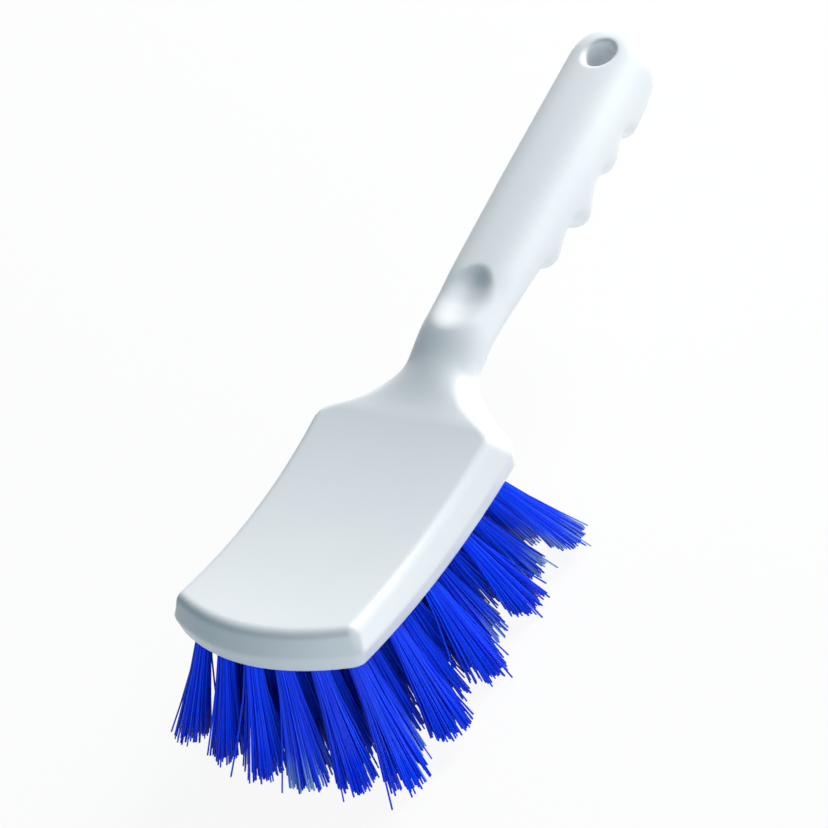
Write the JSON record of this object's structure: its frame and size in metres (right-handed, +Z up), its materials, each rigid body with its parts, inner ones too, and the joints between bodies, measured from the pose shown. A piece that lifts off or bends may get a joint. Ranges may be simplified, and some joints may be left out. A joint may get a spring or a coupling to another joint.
{
  "type": "car wash brush",
  "caption": "Hand-held wash brush: white moulded handle and arched block in one piece, with finger ridges, thumb rest and hang hole, and splayed tufts of blue filament.",
  "frame": {"origin": "on the plane of the bristle tips, at the middle of the whole brush seen from above", "axes": "+X along the brush towards the hang-hole end, +Y across it, to the right as seen from the handle end, +Z up, away from the bristle tips"},
  "size_m": [0.2894, 0.094, 0.0834],
  "materials": {
    "white_plastic": "smooth satin-gloss moulding",
    "blue_filament": "shiny drawn filament with cut tips",
    "staple_steel": "drawn flat wire"
  },
  "bodies": {
    "root": {"brush_body": "white_plastic", "bristles_front": "blue_filament", "bristles_mid_front": "blue_filament", "bristles_mid_rear": "blue_filament", "bristles_rear": "blue_filament", "staple_r1_c1": "staple_steel", "staple_r1_c2": "staple_steel", "staple_r1_c3": "staple_steel", "staple_r1_c4": "staple_steel", "staple_r1_c5": "staple_steel", "staple_r1_c6": "staple_steel", "staple_r2_c1": "staple_steel", "staple_r2_c2": "staple_steel", "staple_r2_c3": "staple_steel", "staple_r2_c4": "staple_steel", "staple_r2_c5": "staple_steel", "staple_r3_c1": "staple_steel", "staple_r3_c2": "staple_steel", "staple_r3_c3": "staple_steel", "staple_r3_c4": "staple_steel", "staple_r3_c5": "staple_steel", "staple_r3_c6": "staple_steel", "staple_r4_c1": "staple_steel", "staple_r4_c2": "staple_steel", "staple_r4_c3": "staple_steel", "staple_r4_c4": "staple_steel", "staple_r4_c5": "staple_steel", "staple_r5_c1": "staple_steel", "staple_r5_c2": "staple_steel", "staple_r5_c3": "staple_steel", "staple_r5_c4": "staple_steel", "staple_r5_c5": "staple_steel", "staple_r5_c6": "staple_steel", "staple_r6_c1": "staple_steel", "staple_r6_c2": "staple_steel", "staple_r6_c3": "staple_steel", "staple_r6_c4": "staple_steel", "staple_r6_c5": "staple_steel", "staple_r7_c1": "staple_steel", "staple_r7_c2": "staple_steel", "staple_r7_c3": "staple_steel", "staple_r7_c4": "staple_steel", "staple_r7_c5": "staple_steel", "staple_r7_c6": "staple_steel", "staple_r8_c1": "staple_steel", "staple_r8_c2": "staple_steel", "staple_r8_c3": "staple_steel", "staple_r8_c4": "staple_steel", "staple_r8_c5": "staple_steel", "staple_r9_c1": "staple_steel", "staple_r9_c2": "staple_steel", "staple_r9_c3": "staple_steel", "staple_r9_c4": "staple_steel", "staple_r9_c5": "staple_steel", "staple_r9_c6": "staple_steel"}
  },
  "joints": []
}
